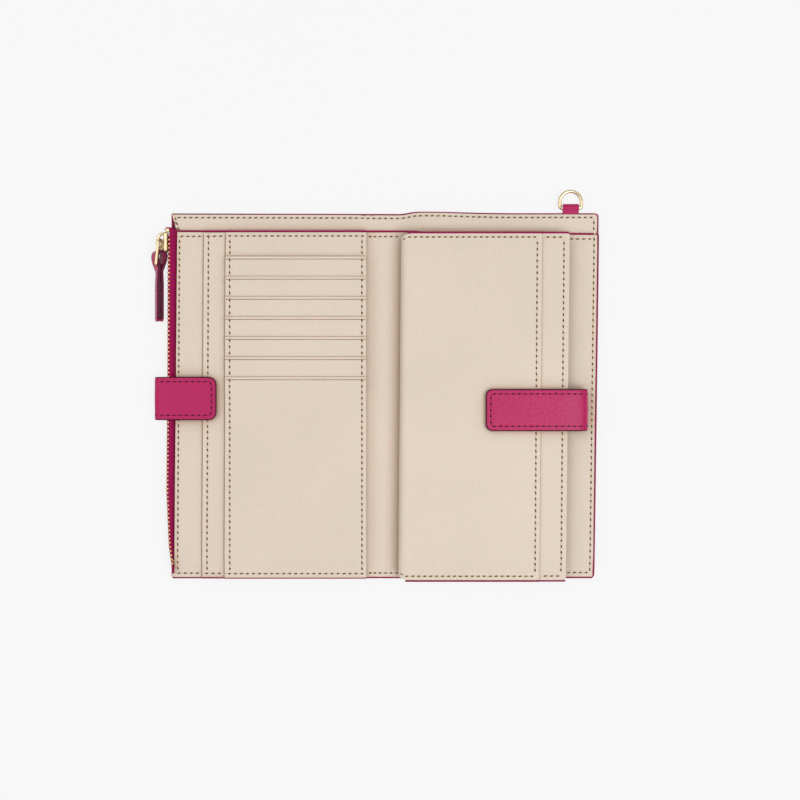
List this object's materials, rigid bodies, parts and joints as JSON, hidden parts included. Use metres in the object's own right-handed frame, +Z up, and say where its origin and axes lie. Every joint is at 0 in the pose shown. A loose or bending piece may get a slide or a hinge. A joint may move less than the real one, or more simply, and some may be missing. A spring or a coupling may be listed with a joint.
{
  "type": "wristlet wallet",
  "caption": "Open bifold wristlet wallet with card slots, phone pocket under a snap strap, side zip pocket, closure strap and strap ring.",
  "frame": {"origin": "under the middle of the spine, on the surface the open wallet lies on", "axes": "+X across the open wallet towards the phone pocket's mouth, +Y up the long sides towards the strap ring, +Z up out of the open inside"},
  "size_m": [0.2017, 0.1761, 0.0116],
  "materials": {
    "fuchsia_leather": "fine grained, satin",
    "cream_leather": "fine grained, satin",
    "lining_cloth": "woven lining",
    "zip_tape": "herringbone tape",
    "board": "stiffening board",
    "gold_metal": "pale gold plate, polished"
  },
  "bodies": {
    "left_panel": {"cover_left": "fuchsia_leather", "stiffener_left": "board", "zip_pocket_lining": "lining_cloth", "back_wall_left": "cream_leather", "base_panel_left": "cream_leather", "slip_panel": "cream_leather", "card_panel": "cream_leather", "card_slot_1": "cream_leather", "card_slot_2": "cream_leather", "card_slot_3": "cream_leather", "card_slot_4": "cream_leather", "card_slot_5": "cream_leather", "card_slot_6": "cream_leather", "card_slot_7": "cream_leather", "zip_tape_upper": "zip_tape", "zip_tape_lower": "zip_tape", "zip_chain_upper": "gold_metal", "zip_chain_lower": "gold_metal", "zip_top_stop": "gold_metal", "zip_bottom_stop": "gold_metal", "closure_tab_base": "fuchsia_leather", "closure_tab_wrap": "fuchsia_leather"},
    "spine": {"cover_spine": "fuchsia_leather", "back_wall_spine": "cream_leather", "base_panel_spine": "cream_leather"},
    "right_panel": {"cover_right": "fuchsia_leather", "stiffener_right": "board", "back_wall_right": "cream_leather", "base_panel_right": "cream_leather", "pocket_tab_base": "fuchsia_leather", "pocket_tab_wrap": "fuchsia_leather", "gusset_top": "lining_cloth", "gusset_bottom": "lining_cloth", "gusset_left": "lining_cloth", "d_ring_loop": "fuchsia_leather", "closure_snap_socket": "gold_metal"},
    "leaf": {"leaf_back": "lining_cloth", "leaf_middle": "cream_leather", "leaf_front": "cream_leather", "leaf_roll": "cream_leather", "pocket_snap_stud": "gold_metal"},
    "closure_tab": {"closure_tab_end": "fuchsia_leather", "closure_snap_cap": "gold_metal"},
    "pocket_tab": {"pocket_tab_end": "fuchsia_leather", "pocket_snap_cap": "gold_metal"},
    "zip_slider": {"zip_slider": "gold_metal", "zip_bridge": "gold_metal"},
    "zip_pull": {"zip_pull_plate": "gold_metal", "zip_pull_leather": "fuchsia_leather"},
    "strap_ring": {"d_ring": "gold_metal"}
  },
  "joints": [
    {"name": "fold_left", "type": "hinge", "parent": "left_panel", "child": "spine", "pos_m": [-0.0069, 0, 0.0026], "axis": [0, 1, 0], "range_deg": [-90, 0]},
    {"name": "fold_right", "type": "hinge", "parent": "spine", "child": "right_panel", "pos_m": [0.0069, 0, 0.0026], "axis": [0, 1, 0], "range_deg": [-90, 0]},
    {"name": "closure_tab_flip", "type": "hinge", "parent": "left_panel", "child": "closure_tab", "pos_m": [-0.1029, -0.00125, 0.00335], "axis": [0, -1, 0], "range_deg": [0, 180], "deforming": ["closure_tab_wrap"]},
    {"name": "pocket_tab_flip", "type": "hinge", "parent": "right_panel", "child": "pocket_tab", "pos_m": [0.092, -0.00655, 0.00735], "axis": [0, 1, 0], "range_deg": [0, 180], "deforming": ["pocket_tab_wrap"]},
    {"name": "leaf_lift", "type": "hinge", "parent": "right_panel", "child": "leaf", "pos_m": [0.0074, 0, 0.0034], "axis": [0, -1, 0], "range_deg": [0, 8.2], "deforming": ["gusset_top", "gusset_bottom", "gusset_left"]},
    {"name": "zip_travel", "type": "slide", "parent": "left_panel", "child": "zip_slider", "axis": [0, 1, 0], "range_m": [-0.138, 0]},
    {"name": "pull_swing", "type": "hinge", "parent": "zip_slider", "child": "zip_pull", "pos_m": [-0.10035, 0.0702, 0.00335], "axis": [0, 0, -1], "range_deg": [0, 165]},
    {"name": "ring_swing", "type": "hinge", "parent": "right_panel", "child": "strap_ring", "pos_m": [0.0851, 0.085, 0.0019], "axis": [1, 0, 0], "range_deg": [-60, 115]}
  ],
  "couplings": [
    {"joint": "fold_right", "follows": "fold_left", "ratio": 1},
    {"joint": "leaf_lift", "follows": "pocket_tab_flip", "ratio": 0.045}
  ]
}
